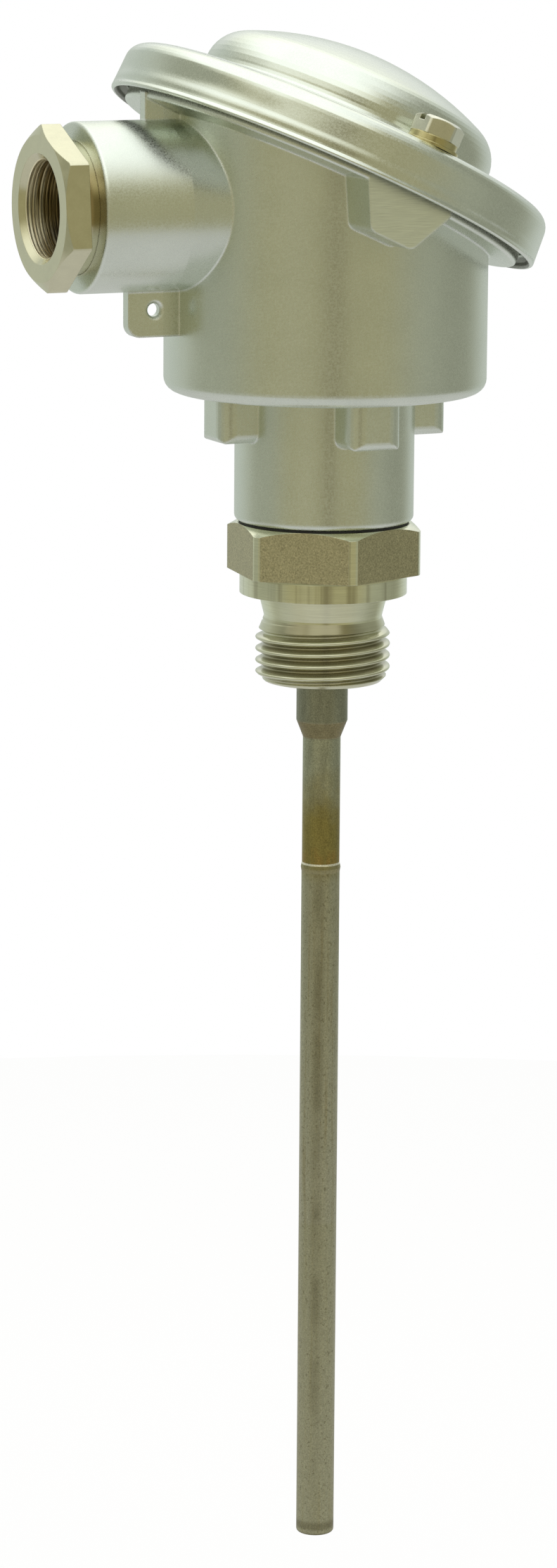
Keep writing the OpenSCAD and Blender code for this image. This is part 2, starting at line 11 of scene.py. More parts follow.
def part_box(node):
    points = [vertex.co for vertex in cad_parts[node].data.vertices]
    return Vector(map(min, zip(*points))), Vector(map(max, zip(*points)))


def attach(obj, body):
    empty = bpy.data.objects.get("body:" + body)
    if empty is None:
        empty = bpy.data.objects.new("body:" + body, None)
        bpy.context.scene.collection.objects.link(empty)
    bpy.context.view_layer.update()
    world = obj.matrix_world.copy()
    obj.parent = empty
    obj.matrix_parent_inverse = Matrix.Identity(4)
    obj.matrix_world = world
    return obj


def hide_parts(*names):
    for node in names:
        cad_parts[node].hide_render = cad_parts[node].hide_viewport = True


bl_info = {
    "name": "Thermometer Probe Dresser",
    "version": (1, 0, 0),
    "blender": (4, 5, 0),
    "location": "View3D > Sidebar > Probe",
    "description": "Gives a resistance thermometer probe its finishes, threads and studio",
    "category": "Object",
}

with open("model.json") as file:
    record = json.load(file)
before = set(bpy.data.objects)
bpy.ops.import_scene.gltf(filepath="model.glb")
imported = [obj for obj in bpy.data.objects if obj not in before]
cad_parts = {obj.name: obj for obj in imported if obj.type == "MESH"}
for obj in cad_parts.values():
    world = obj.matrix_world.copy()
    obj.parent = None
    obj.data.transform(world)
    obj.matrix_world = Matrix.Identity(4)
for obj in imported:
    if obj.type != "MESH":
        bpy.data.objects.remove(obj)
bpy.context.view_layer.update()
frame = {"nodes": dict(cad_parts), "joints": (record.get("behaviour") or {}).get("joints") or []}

MM = 0.001

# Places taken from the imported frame, in metres
FITTING_LOW, FITTING_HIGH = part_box("process_fitting")
GLAND_LOW, GLAND_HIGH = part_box("gland_screw")
TUBE_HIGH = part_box("protecting_tube")[1]
STEM_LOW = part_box("stem")[0]
PLUG_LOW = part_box("tip_plug")[0]
BODY_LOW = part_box("head_body")[0]
ENTRY_Z = (GLAND_LOW.z + GLAND_HIGH.z) / 2
LID_AXIS = Vector(next(j for j in frame["joints"] if j["name"] == "lid_lift")["axis"])
LID_TILT = math.atan2(LID_AXIS.x, LID_AXIS.z)
LID_LOW, LID_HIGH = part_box("lid")
# Middle of the lid's lower edge, found from its lowest point and its width across the slope
LID_RADIUS = (LID_HIGH.y - LID_LOW.y) / 2
LID_FOOT = Vector((
    LID_LOW.x + LID_RADIUS * math.cos(LID_TILT), 0, LID_LOW.z + LID_RADIUS * math.sin(LID_TILT),
))


# ------------------------ sizes and colours

def share(name, description, default, low=0.0, high=1.0, **kind):
    """A plain number."""
    return bpy.props.FloatProperty(
        name=name, description=description, default=default, min=low, max=high, **kind,
    )


def length(*given):
    """A size in metres."""
    return share(*given, unit="LENGTH", precision=5)


def direction(name, description, degrees):
    """An angle, given in degrees and kept in radians."""
    return share(name, description, math.radians(degrees), -math.pi, math.pi, subtype="ANGLE")


def colour(name, description, default):
    """A linear colour."""
    return bpy.props.FloatVectorProperty(
        name=name, description=description, default=default, size=3,
        subtype="COLOR", min=0.0, max=1.0,
    )


class ProbeSizes(bpy.types.PropertyGroup):
    """Sizes of the turned pieces, and of the relief on the castings"""
    thread_pitch: length("Thread pitch", "Pitch of the process thread", 1.814 * MM)
    thread_radius: length("Thread radius", "Crest radius of the process thread", 10.4775 * MM)
    thread_low: length("Thread start", "Height of the first full turn", -12.5 * MM, -1.0)
    thread_high: length("Thread end", "Height of the last full turn", -6.4 * MM, -1.0)
    groove_low: length("Groove", "Height of the groove's lower edge", -3.8 * MM, -1.0)
    thread_crest: length("Crest height", "Height of a crest on the +X side", 1.16 * MM)
    groove_radius: length("Groove radius", "Radius of the groove above the thread", 9.2 * MM)
    collar_radius: length("Collar radius", "Radius of the sealing collar", 13.0 * MM)
    collar_height: length("Collar height", "Height of the sealing collar", 3.2 * MM)
    hexagon_flats: length("Hexagon", "Width across the flats of the fitting", 27.0 * MM)
    hexagon_height: length("Hexagon height", "Height of the fitting's hexagon", 7.8 * MM)
    hexagon_turn: direction("Hexagon turn", "Direction of one flat of the fitting", -7.5)
    neck_radius: length("Neck thread", "Crest radius of the thread that carries the head", 12.0 * MM)
    fitting_bore: length("Fitting bore", "Radius of the bore that holds the stem", 4.02 * MM)
    gland_flats: length("Gland hexagon", "Width across the flats of the gland", 22.0 * MM)
    gland_hexagon: length("Gland hexagon height", "Height of the gland's hexagon", 3.9 * MM)
    gland_turn: direction("Gland turn", "Direction of one flat of the gland", 36)
    gland_shank: length("Gland shank", "Radius of the shank behind the hexagon", 10.0 * MM)
    gland_bore: length("Gland bore", "Radius of the gland's bore", 7.4 * MM)
    gland_mouth: length("Gland mouth", "Width of the chamfer at the bore's mouth", 0.95 * MM)
    gland_pitch: length("Bore ring pitch", "Distance between the rings in the bore", 0.55 * MM)
    gland_ring: length("Bore ring depth", "Depth of the rings in the bore", 0.05 * MM)
    skirt_ridge: length("Skirt ridge", "Height of the ridge above the lid's lip", 0.065 * MM)
    skirt_lip: length("Skirt lip", "Swell of the lid's lowest edge", 0.22 * MM)
    skirt_step: length("Skirt step", "Step round the skirt's shoulder at the cable entry", 0.65 * MM)
    skirt_step_end: length("Skirt step end", "The same step on the other sides", 0.02 * MM)
    skirt_wave: length("Skirt wave", "Height of the long waves round the skirt", 0.2 * MM)
    entry_draft: length("Entry draft", "Draft of the die on the cable entry", 1.1 * MM)
    ear_flat: length("Ear flat", "From the head's axis to the flats of its ears", 31.5 * MM)


class ProbeFinish(bpy.types.PropertyGroup):
    """Colours of the surfaces"""
    cast_lacquer: colour("Cast lacquer", "Silver lacquer on the castings", (0.70, 0.74, 0.66))
    # Painted shade inside the lid's lip
    lip_shade: colour("Raw casting", "Bare metal inside the lid's lip", (0.30, 0.30, 0.27))
    # Worn edges of the castings, lightened further as a painted edge highlight
    worn_edge_and_highlight: colour("Worn edge", "Bright metal along the edges of the castings", (0.95, 0.98, 0.94))
    nickel_brass: colour("Nickel brass", "Plated brass of the gland", (0.64, 0.62, 0.44))
    # Painted shade in the bore, and a painted dark reflection on the waist
    bore_and_waist_shade: colour("Bore brown", "Bore and waist of the gland's pressure screw", (0.36, 0.28, 0.13))
    # Painted highlight on the bore's rings and mouth
    bore_highlight: colour("Bore rings", "Bright rings in the gland's bore", (0.98, 0.92, 0.68))
    # Painted shadow in the bore's middle
    bore_shadow: colour("Bore shadow", "Middle of the gland's bore", (0.06, 0.045, 0.02))
    zinc_yellow: colour("Yellow zinc", "Passivated zinc of the lid screws", (0.68, 0.68, 0.57))
    zinc_gold: colour("Gold zinc", "Passivated zinc of the washers", (0.54, 0.49, 0.26))
    blasted_steel: colour("Blasted steel", "Blasted flats of the hexagon", (0.45, 0.415, 0.25))
    turned_steel: colour("Turned steel", "Turned collar and thread", (0.76, 0.77, 0.59))
    thread_steel: colour("Thread steel", "Flanks of the process thread", (0.50, 0.485, 0.345))
    # Painted shade in the thread's roots and run-out, and painted dark reflections on the collar
    thread_shade: colour("Thread root", "Roots of the thread, streaks on the collar", (0.20, 0.17, 0.09))
    stem_steel: colour("Stem steel", "Thick end of the stem", (0.30, 0.305, 0.225))
    shank_steel: colour("Shank steel", "Thin end of the stem", (0.40, 0.41, 0.295))
    cone_brown: colour("Cone brown", "Cone between the stem's two diameters", (0.24, 0.21, 0.11))
    heat_tint: colour("Heat tint", "Gold tint above the weld", (0.31, 0.26, 0.085))
    scorch: colour("Scorch", "Brown tint next to the weld", (0.38, 0.20, 0.05))
    weld_bright: colour("Weld", "Ring of bright metal at the weld", (0.86, 0.84, 0.70))
    tube_steel: colour("Tube steel", "Drawn tube", (0.42, 0.41, 0.28))
    tube_lower: colour("Lower tube", "Tube below its change of tone", (0.378, 0.369, 0.224))
    tube_stain: colour("Tube stain", "Darker streaks on the tube", (0.33, 0.30, 0.18))
    # Soot on specks and the smoked end; also a painted dark reflection down the front and painted shade
    # on the underside
    soot_and_shade: colour("Soot", "Long streak and smoked end of the tube", (0.20, 0.185, 0.105))
    rubber: colour("Rubber", "Seals", (0.018, 0.018, 0.018))
    ceramic: colour("Ceramic", "Block, insulator and element", (0.80, 0.78, 0.71))
    terminal_brass: colour("Terminal brass", "Clamps and their screws", (0.80, 0.60, 0.28))
    zinc: colour("Zinc", "Screws and washers inside the head", (0.62, 0.63, 0.64))
    lead_sleeve: colour("Lead sleeve", "Insulation of the leads", (0.42, 0.03, 0.02))
    resin: colour("Resin", "Potting at the end of the stem", (0.05, 0.035, 0.02))


class ProbeStudio(bpy.types.PropertyGroup):
    """Camera, floor and light"""
    distance: length("Distance", "From the probe's axis to the camera", 800 * MM, 0.1, 5.0)
    height: length("Height", "Height of the camera above the seal face", 127.68 * MM)
    azimuth: direction("Azimuth", "Direction of the camera round the probe", -25)
    pitch: direction("Pitch", "Angle at which the camera looks down", 11.19)
    yaw: direction("Yaw", "Angle by which the camera looks past the axis", -0.48)
    roll: direction("Roll", "Turn of the camera about its own axis", 0.416)
    lens: share("Lens", "Focal length in mm on a sensor of 36 mm", 119.63, 20.0, 500.0)
    floor_drop: length("Floor drop", "From the tip down to the floor", 60 * MM)
    floor_radius: length("Floor radius", "Radius of the round floor", 550 * MM, 0.1, 5.0)
    floor_seen: share("Floor seen", "Light that the floor adds to what the camera sees", 0.80)
    floor_mirrored: share("Floor mirrored", "Light that the floor adds to what metal reflects", 0.46)
    floor_dimmed: share("Floor dimmed", "How far the floor's own shading is taken down", 0.75)
    lamp_size: length("Lamp size", "Side of the square lamp", 1.2, 0.1, 5.0)
    lamp_level: share("Lamp level", "Brightness of the lamp's face", 1.2, 0.0, 3.0)
    lamp_rise: length("Lamp height", "From the middle of the head up to the lamp", 0.80, 0.1, 5.0)
    front: colour("Front", "Surround at eye level near the camera", (0.425, 0.395, 0.245))
    side: colour("Side", "Surround at eye level to the sides", (0.40, 0.41, 0.33))
    left: colour("Left", "Surround at eye level on the left, towards the back", (0.56, 0.58, 0.51))
    back: colour("Back", "Surround at eye level behind the probe", (0.62, 0.66, 0.62))
    below: colour("Below", "Surround under the floor", (0.60, 0.635, 0.62))
    tent: colour("Tent", "Bright top of the light tent", (0.98, 1.0, 1.0))
    warm: colour("Warm top", "Lower part of the tent's bright top", (0.98, 0.97, 0.84))
    stand: colour("Stand", "Dark stand beside the camera", (0.05, 0.02, 0.0))
    stand_share: share("Stand share", "How dark the stand is in what metal reflects", 0.38)
    room: colour("Room", "Light of the surround on matt surfaces", (0.62, 0.62, 0.60))
    glow: share("Glow", "Level of the tent's top, as reflected in metal", 1.48, 0.0, 3.0)
    box_share: share("Box share", "Strength of the light box beside the tent's top", 0.35)
    box_azimuth: direction("Box azimuth", "Light box, from the camera towards its right", -58)


# ------------------------ materials

class Finish:
    """A node material built round one Principled shader"""

    def __init__(self, name, metallic=1.0, roughness=0.3, **sockets):
        self.material = bpy.data.materials.new(name)
        self.material.use_nodes = True
        self.nodes = self.material.node_tree.nodes
        self.links = self.material.node_tree.links
        self.shader = self.nodes["Principled BSDF"]
        self.put(Metallic=metallic, Roughness=roughness, **sockets)
        self.point = self.add("ShaderNodeTexCoord").outputs["Object"]

    def feed(self, socket, value):
        """Links a socket to another, or sets its value."""
        if isinstance(value, bpy.types.NodeSocket):
            self.links.new(value, socket)
        elif socket.type == "RGBA" and len(value) == 3:
            socket.default_value = (*value, 1.0)
        else:
            socket.default_value = value

    def put(self, **sockets):
        """Feeds the shader's own sockets, with underscores for spaces, and gives the material."""
        for name, value in sockets.items():
            self.feed(self.shader.inputs[name.replace("_", " ")], value)
        return self.material

    def add(self, kind, settings=None, **inputs):
        """Adds a node with its settings and inputs."""
        node = self.nodes.new(kind)
        for name, value in (settings or {}).items():
            setattr(node, name, value)
        for name, value in inputs.items():
            self.feed(node.inputs[name.replace("_", " ")], value)
        return node

    def join(self, kind, settings, *values):
        """Adds a node with its settings, feeds its inputs in their order and gives its output."""
        node = self.add(kind, settings)
        for socket, value in zip([s for s in node.inputs if s.enabled], values):
            self.feed(socket, value)
        return next(s for s in node.outputs if s.enabled)

    def calc(self, operation, *values):
        """One step of arithmetic on numbers."""
        return self.join("ShaderNodeMath", {"operation": operation}, *values)

    def product(self, first, *others):
        """Numbers multiplied together."""
        for value in others:
            first = self.calc("MULTIPLY", first, value)
        return first

    def total(self, first, *others):
        """Numbers added together."""
        for value in others:
            first = self.calc("ADD", first, value)
        return first

    def away(self, value, centre):
        """Distance of a number from a centre."""
        return self.calc("ABSOLUTE", self.calc("SUBTRACT", value, centre))

    def hypot(self, first, second):
        """Root of the sum of two squares."""
        return self.calc("SQRT", self.total(self.product(first, first), self.product(second, second)))

    def vector(self, operation, *values):
        """One step of arithmetic on vectors."""
        return self.join("ShaderNodeVectorMath", {"operation": operation}, *values)

    def axes(self, point=None):
        """The x, y and z of a point."""
        return self.add("ShaderNodeSeparateXYZ", Vector=point or self.point).outputs

    def moved(self, location=(0, 0, 0), rotation=(0, 0, 0), scale=(1, 1, 1)):
        """Object coordinates seen from another place, turned and scaled."""
        return self.add(
            "ShaderNodeMapping", {"vector_type": "POINT"}, Vector=self.point,
            Location=location, Rotation=rotation, Scale=scale,
        ).outputs[0]

    def towards(self, direction):
        """How far a point lies in a direction from the origin."""
        return self.vector("DOT_PRODUCT", self.point, direction)

    def noise(self, size, detail=3.0, roughness=0.55, **place):
        """Noise from 0 to 1 whose grains are about size metres across, turned or drawn out."""
        return self.add(
            "ShaderNodeTexNoise", Vector=self.moved(**place) if place else self.point,
            Scale=1 / size, Detail=detail, Roughness=roughness,
        ).outputs["Fac"]

    def span(self, value, low, high, to_low=0.0, to_high=1.0, smooth=True):
        """Maps a value from one span to another, held at both ends."""
        settings = {"interpolation_type": "SMOOTHSTEP" if smooth else "LINEAR"}
        return self.join("ShaderNodeMapRange", settings, value, low, high, to_low, to_high)

    def band(self, value, low, low_full, high_full, high):
        """1 between two inner limits, down to 0 at two outer ones."""
        return self.product(self.span(value, low, low_full), self.span(value, high, high_full))

    def mix(self, factor, first, second, blend="MIX"):
        """Mixes two colours."""
        settings = {"data_type": "RGBA", "blend_type": blend}
        return self.join("ShaderNodeMix", settings, factor, first, second)

    def over(self, color, *layers):
        """A colour with others laid over it, each inside its own mask."""
        for other, mask in layers:
            color = self.mix(mask, color, other)
        return color

    def shade(self, color, *tones):
        """A colour made darker and lighter by values from 0 to 1, each with its two levels."""
        for value, low, high in tones:
            level = self.span(value, 0.25, 0.75, low, high, smooth=False)
            grey = self.join("ShaderNodeCombineColor", {}, level, level, level)
            color = self.mix(1.0, color, grey, "MULTIPLY")
        return color

    def bump(self, height, strength, depth, normal=None):
        """Bump whose full height is depth metres."""
        node = self.add("ShaderNodeBump", Height=height, Strength=strength, Distance=depth)
        if normal:
            self.feed(node.inputs["Normal"], normal)
        return node.outputs[0]

    def relief(self, height, normal):
        """Bump by a height in metres."""
        return self.bump(height, 1.0, 1.0, normal)

    def rounded(self, radius):
        """Normal that rounds the edges off."""
        return self.add("ShaderNodeBevel", {"samples": 4}, Radius=radius).outputs[0]

    def geometry(self, name):
        """One of the surface's own values."""
        return self.add("ShaderNodeNewGeometry").outputs[name]

    def bent(self, normal):
        """How far a normal leans away from the surface's own, 0 for not at all."""
        return self.calc("SUBTRACT", 1.0, self.vector("DOT_PRODUCT", normal, self.geometry("Normal")))

    def turning(self, centre=(0, 0, 0), axis=(0, 0, 1)):
        """Direction of the tool marks round an axis."""
        off_centre = self.vector("SUBTRACT", self.point, centre)
        turn = self.add(
            "ShaderNodeVectorTransform",
            {"vector_type": "VECTOR", "convert_from": "OBJECT", "convert_to": "WORLD"},
            Vector=self.vector("CROSS_PRODUCT", axis, off_centre),
        )
        return self.vector("NORMALIZE", turn.outputs[0])


# Level directions to the front of the probe and across it, from left to right
FRONT = (-0.42, -0.91, 0)
ACROSS = (0.91, -0.42, 0)


def cast_finish(name, sizes, colors, roughness, edge_radius, marks):
    """Silver lacquer on a casting: a fine sparkle, soft mottling, worn edges lightened further as a
    painted highlight, and its own marks.
    """
    finish = Finish(name, roughness=roughness)
    grain = finish.noise(0.28 * MM, 2.0)
    mottle = finish.noise(6 * MM)
    soft = finish.rounded(edge_radius)
    # Worn edges, made brighter as a painted edge highlight
    edge = finish.product(
        finish.span(finish.bent(soft), 0.010, 0.08), finish.span(mottle, 0.35, 0.55, 0.5, 0.9)
    )
    body = finish.over(
        finish.shade(colors.cast_lacquer, (grain, 0.93, 1.07), (mottle, 0.97, 1.03)),
        (colors.worn_edge_and_highlight, edge),
    )
    rough = finish.span(grain, 0.3, 0.7, roughness - 0.05, roughness + 0.05)
    normal = finish.bump(mottle, 0.25, 0.06 * MM, soft)
    body, rough, normal = marks(finish, sizes, colors, body, rough, normal)
    normal = finish.bump(grain, 0.35, 0.012 * MM, normal)
    return finish.put(Base_Color=body, Roughness=rough, Normal=normal)


def housing_marks(finish, sizes, colors, body, rough, normal):
    """Draft of the die on the cable entry, and brushed lines on the flats of the ears."""
    x, y, _ = finish.axes()
    entry = finish.calc("SUBTRACT", x, BODY_LOW.x)
    draft = finish.span(entry, 0.0, 14 * MM, 0.0, sizes.entry_draft, smooth=False)
    normal = finish.relief(draft, normal)
    flat = finish.span(finish.calc("ABSOLUTE", y), sizes.ear_flat, sizes.ear_flat + 0.06 * MM)
    lines = finish.noise(0.10 * MM, 2.0, rotation=(0, LID_TILT, 0), scale=(0.03, 1.0, 1.0))
    body = finish.mix(flat, body, finish.shade(colors.cast_lacquer, (lines, 1.0, 1.32)))
    normal = finish.bump(finish.product(lines, flat), 0.7, 0.02 * MM, normal)
    return body, finish.total(rough, finish.product(flat, 0.05)), normal


def lid_marks(finish, sizes, colors, body, rough, normal):
    """Bands and long, shallow waves round the lid's skirt, and painted shade inside its lip."""
    height, reach = lid_place(finish)
    normal = finish.relief(skirt_relief(finish, sizes, height), normal)
    wave = finish.noise(5 * MM, 1.0, rotation=(0, LID_TILT, 0), scale=(0.10, 0.25, 1.0))
    on_skirt = finish.span(reach, 33.2 * MM, 34.2 * MM)
    normal = finish.relief(finish.product(wave, on_skirt, sizes.skirt_wave), normal)
    # Painted shade inside the lid's lip
    inside = finish.product(
        finish.band(reach, 33.3 * MM, 33.5 * MM, 34.42 * MM, 34.50 * MM),
        finish.span(height, 2.6 * MM, 2.2 * MM),
    )
    body = finish.mix(inside, body, colors.lip_shade)
    return body, finish.total(rough, finish.product(inside, 0.15)), normal


def lid_place(finish):
    """Height of a point along the lid's axis, and its distance from that axis."""
    point = finish.moved(location=-LID_FOOT)
    across = finish.vector("CROSS_PRODUCT", point, LID_AXIS)
    return finish.vector("DOT_PRODUCT", point, LID_AXIS), finish.vector("LENGTH", across)


def skirt_relief(finish, sizes, height):
    """Shallow bands that the die left round the lid's skirt, in metres."""
    ridge = finish.band(height, 0.85 * MM, 1.55 * MM, 1.65 * MM, 2.55 * MM)
    lip = finish.span(height, 0.70 * MM, 0.05 * MM, 0.0, sizes.skirt_lip)
    shoulder = finish.span(height, 2.7 * MM, 5.9 * MM)
    # Deepest on the side of the cable entry
    step = finish.span(finish.axes()[0], -28 * MM, -18 * MM, sizes.skirt_step, sizes.skirt_step_end)
    return finish.total(finish.product(ridge, sizes.skirt_ridge), lip, finish.product(shoulder, step))


def gland_finish(sizes, colors):
    """Plated hexagon and polished shank of the pressure screw, with painted shade and highlights in its
    bore and a painted dark reflection on its waist.
    """
    finish = Finish("gland_nickel", roughness=0.2, Anisotropic=0.4, Anisotropic_Rotation=0.25)
    x, y, z = finish.axes(finish.moved(location=(0, 0, -ENTRY_Z)))
    reach = finish.hypot(y, z)
    depth = finish.calc("SUBTRACT", x, GLAND_LOW.x)
    cloud = finish.noise(2.2 * MM)
    grain = finish.noise(0.16 * MM, 2.0)
    # Painted highlights on the rings, fading inwards from a bright mouth, and a painted shadow in the
    # middle, over painted shade
    in_bore = finish.span(reach, sizes.gland_bore + 0.12 * MM, sizes.gland_bore + 0.07 * MM)
    rings = finish.span(finish.noise(0.32 * MM, 2.0, scale=(1.0, 0.03, 0.03)), 0.42, 0.58)
    middle = finish.product(
        finish.span(finish.away(z, -1.5 * MM), 6 * MM, 2 * MM), finish.span(depth, 3 * MM, 5.2 * MM)
    )
    bore = finish.over(
        colors.bore_and_waist_shade,
        (colors.bore_highlight, finish.product(rings, finish.span(depth, 1 * MM, 9 * MM, 0.9, 0.35))),
        (colors.bore_highlight, finish.span(depth, 2.2 * MM, 1.4 * MM)),
        (colors.bore_shadow, finish.product(middle, 0.80)),
    )
    # Painted dark reflection on the waist of the shank behind the hexagon
    on_shank = finish.product(
        finish.span(reach, sizes.gland_shank + 0.06 * MM, sizes.gland_shank + 0.02 * MM),
        finish.span(depth, sizes.gland_hexagon - 0.1 * MM, sizes.gland_hexagon + 0.05 * MM),
    )
    waist = finish.span(finish.away(z, 2.2 * MM), 6.5 * MM, 3 * MM)
    body = finish.over(
        finish.shade(colors.nickel_brass, (cloud, 0.95, 1.05), (grain, 0.96, 1.04)),
        (bore, in_bore), (colors.bore_and_waist_shade, finish.product(waist, on_shank, 0.9)),
    )
    normal = finish.bump(grain, 0.25, 0.006 * MM, finish.rounded(0.15 * MM))
    normal = finish.bump(finish.product(rings, in_bore), 0.6, 0.05 * MM, normal)
    rough = finish.total(
        finish.span(cloud, 0.3, 0.7, 0.18, 0.26),
        finish.product(on_shank, -0.06), finish.product(in_bore, 0.25),
    )
    return finish.put(
        Base_Color=body, Normal=normal, Roughness=rough,
        Tangent=finish.turning((0, 0, ENTRY_Z), (1, 0, 0)),
    )


def plated_finish(name, color, roughness):
    """Machined and plated metal, with fine tool marks."""
    finish = Finish(name, roughness=roughness, Anisotropic=0.4, Anisotropic_Rotation=0.25)
    cloud = finish.noise(2.2 * MM)
    grain = finish.noise(0.16 * MM, 2.0)
    return finish.put(
        Base_Color=finish.shade(color, (cloud, 0.95, 1.05), (grain, 0.95, 1.05)),
        Normal=finish.bump(grain, 0.25, 0.006 * MM, finish.rounded(0.22 * MM)),
        Roughness=finish.span(cloud, 0.3, 0.7, roughness - 0.05, roughness + 0.06),
        Tangent=finish.turning(),
    )


def fitting_finish(sizes, colors):
    """Blasted hexagon, turned collar and thread of the process fitting."""
    finish = Finish("fitting_steel", roughness=0.3, Anisotropic=0.6, Anisotropic_Rotation=0.25)
    x, y, height = finish.axes()
    radius = finish.hypot(x, y)
    speck = finish.noise(0.24 * MM, roughness=0.7)
    cloud = finish.noise(4 * MM)
    lines = finish.noise(0.12 * MM, 2.0, scale=(0.02, 0.02, 1.0))
    collar_reflection = finish.noise(2.2 * MM, scale=(1.0, 1.0, 0.02))

    # The hexagon is blasted between its turned corners and below its chamfer
    top = sizes.collar_height
    half = sizes.hexagon_flats / 2
    on_corner = finish.span(radius, 1.122 * half, 1.1275 * half)
    upright = finish.axes(finish.geometry("True Normal"))[2]
    blasted = finish.product(
        finish.span(height, top - 0.03 * MM, top + 0.03 * MM),
        finish.calc("SUBTRACT", 1.0, on_corner), finish.span(upright, 0.45, 0.30),
    )

    # The thread is duller than the collar, with painted shade in its roots and on its run-out in front
    run_out = finish.band(
        height, sizes.thread_high, sizes.thread_high + 0.8 * MM,
        sizes.groove_low - 0.1 * MM, sizes.groove_low,
    )
    front_shade = finish.span(finish.towards(FRONT), 6.2 * MM, 8.4 * MM)
    root = finish.span(radius, sizes.thread_radius - 0.35 * MM, sizes.thread_radius - 0.95 * MM)
    cut = finish.band(
        height, sizes.thread_low - 1.2 * MM, sizes.thread_low,
        sizes.thread_high - 0.3 * MM, sizes.thread_high + 0.3 * MM,
    )
    on_collar = finish.band(height, -0.05 * MM, 0.05 * MM, top - 0.45 * MM, top - 0.35 * MM)
    dull = finish.span(height, sizes.groove_low, sizes.groove_low - 0.1 * MM, 0.0, 0.45)
    turned = finish.over(
        finish.shade(colors.turned_steel, (lines, 0.90, 1.08), (cloud, 0.96, 1.04)),
        (colors.thread_steel, dull),
        (colors.thread_shade, finish.product(run_out, front_shade, 0.55)),
        (colors.thread_shade, finish.product(root, cut, 0.60)),
        # Painted dark reflections streaked round the collar
        (colors.thread_shade, finish.product(on_collar, finish.span(collar_reflection, 0.48, 0.70, 0.0, 0.5))),
    )

    rough = finish.shade(colors.blasted_steel, (speck, 0.55, 1.48), (cloud, 0.95, 1.05))
    normal = finish.bump(finish.product(speck, blasted), 0.8, 0.05 * MM, finish.rounded(0.10 * MM))
    above_end = finish.span(height, FITTING_LOW.z, FITTING_LOW.z + 1 * MM)
    normal = finish.bump(finish.product(lines, above_end), 0.15, 0.01 * MM, normal)
    return finish.put(
        Base_Color=finish.mix(blasted, turned, rough), Normal=normal, Tangent=finish.turning(),
        Roughness=finish.span(blasted, 0.0, 1.0, 0.19, 0.46),
    )


def stem_finish(colors):
    """Turned stem, browned by heat towards the weld."""
    finish = Finish("stem_steel", roughness=0.42, Anisotropic=0.3)
    above_weld = finish.calc("SUBTRACT", finish.axes()[2], STEM_LOW.z)
    grain = finish.noise(0.2 * MM, roughness=0.65)
    streak = finish.noise(0.9 * MM, scale=(1.0, 1.0, 0.15))
    wander = finish.product(finish.calc("SUBTRACT", finish.noise(3 * MM), 0.5), 8 * MM)
    level = finish.total(above_weld, wander)
    cone_low, cone_high = 20.1 * MM, 22.8 * MM
    soft = 0.2 * MM
    on_cone = finish.band(
        above_weld, cone_low - soft, cone_low + soft, cone_high - soft, cone_high + soft
    )
    scorched = finish.product(
        finish.span(level, 3 * MM, 0.5 * MM, 0.0, 0.35), finish.span(streak, 0.4, 0.6)
    )
    color = finish.over(
        colors.shank_steel,
        (colors.stem_steel, finish.span(above_weld, cone_high - soft, cone_high + soft)),
        (colors.cone_brown, on_cone),
        (colors.heat_tint, finish.span(level, 17 * MM, 5 * MM)),
        (colors.scorch, scorched),
        (colors.weld_bright, finish.span(above_weld, 0.22 * MM, 0.10 * MM)),
    )
    return finish.put(
        Base_Color=finish.shade(color, (grain, 0.62, 1.38), (streak, 0.85, 1.12)),
        Normal=finish.bump(grain, 0.4, 0.02 * MM, finish.rounded(0.08 * MM)),
        Tangent=finish.turning(),
    )


